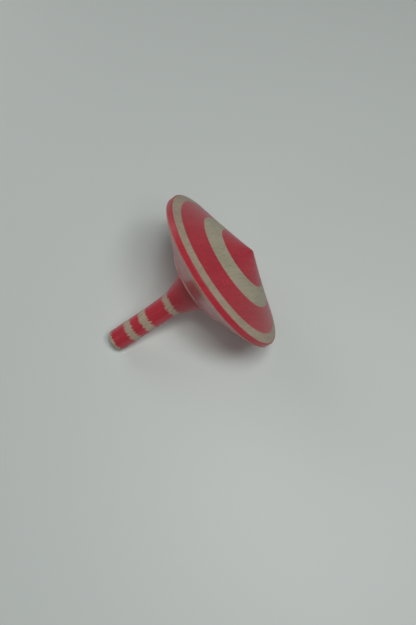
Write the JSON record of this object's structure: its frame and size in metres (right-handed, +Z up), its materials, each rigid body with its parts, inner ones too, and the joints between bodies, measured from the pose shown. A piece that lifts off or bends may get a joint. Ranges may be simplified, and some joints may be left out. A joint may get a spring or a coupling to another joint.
{
  "type": "spinning top",
  "caption": "Turned wooden finger top lying on its side: a disc with a low cone face, and a slim handle with a flared foot.",
  "frame": {"origin": "middle of the bounding box's footprint, on the floor that the top lies on", "axes": "+Z up. The turning axis lies in the XZ plane, with the tip towards +X and 28.2 degrees above the floor"},
  "size_m": [0.0506, 0.05, 0.0448],
  "materials": {
    "disc_wood": "red stain under a thin satin varnish, with bare rings",
    "handle_wood": "red stain under a thin satin varnish, with bare rings",
    "set_glue": "dried wood glue, faintly tinted by the stain"
  },
  "bodies": {
    "root": {"disc": "disc_wood", "handle": "handle_wood", "glue_line": "set_glue"}
  },
  "joints": []
}
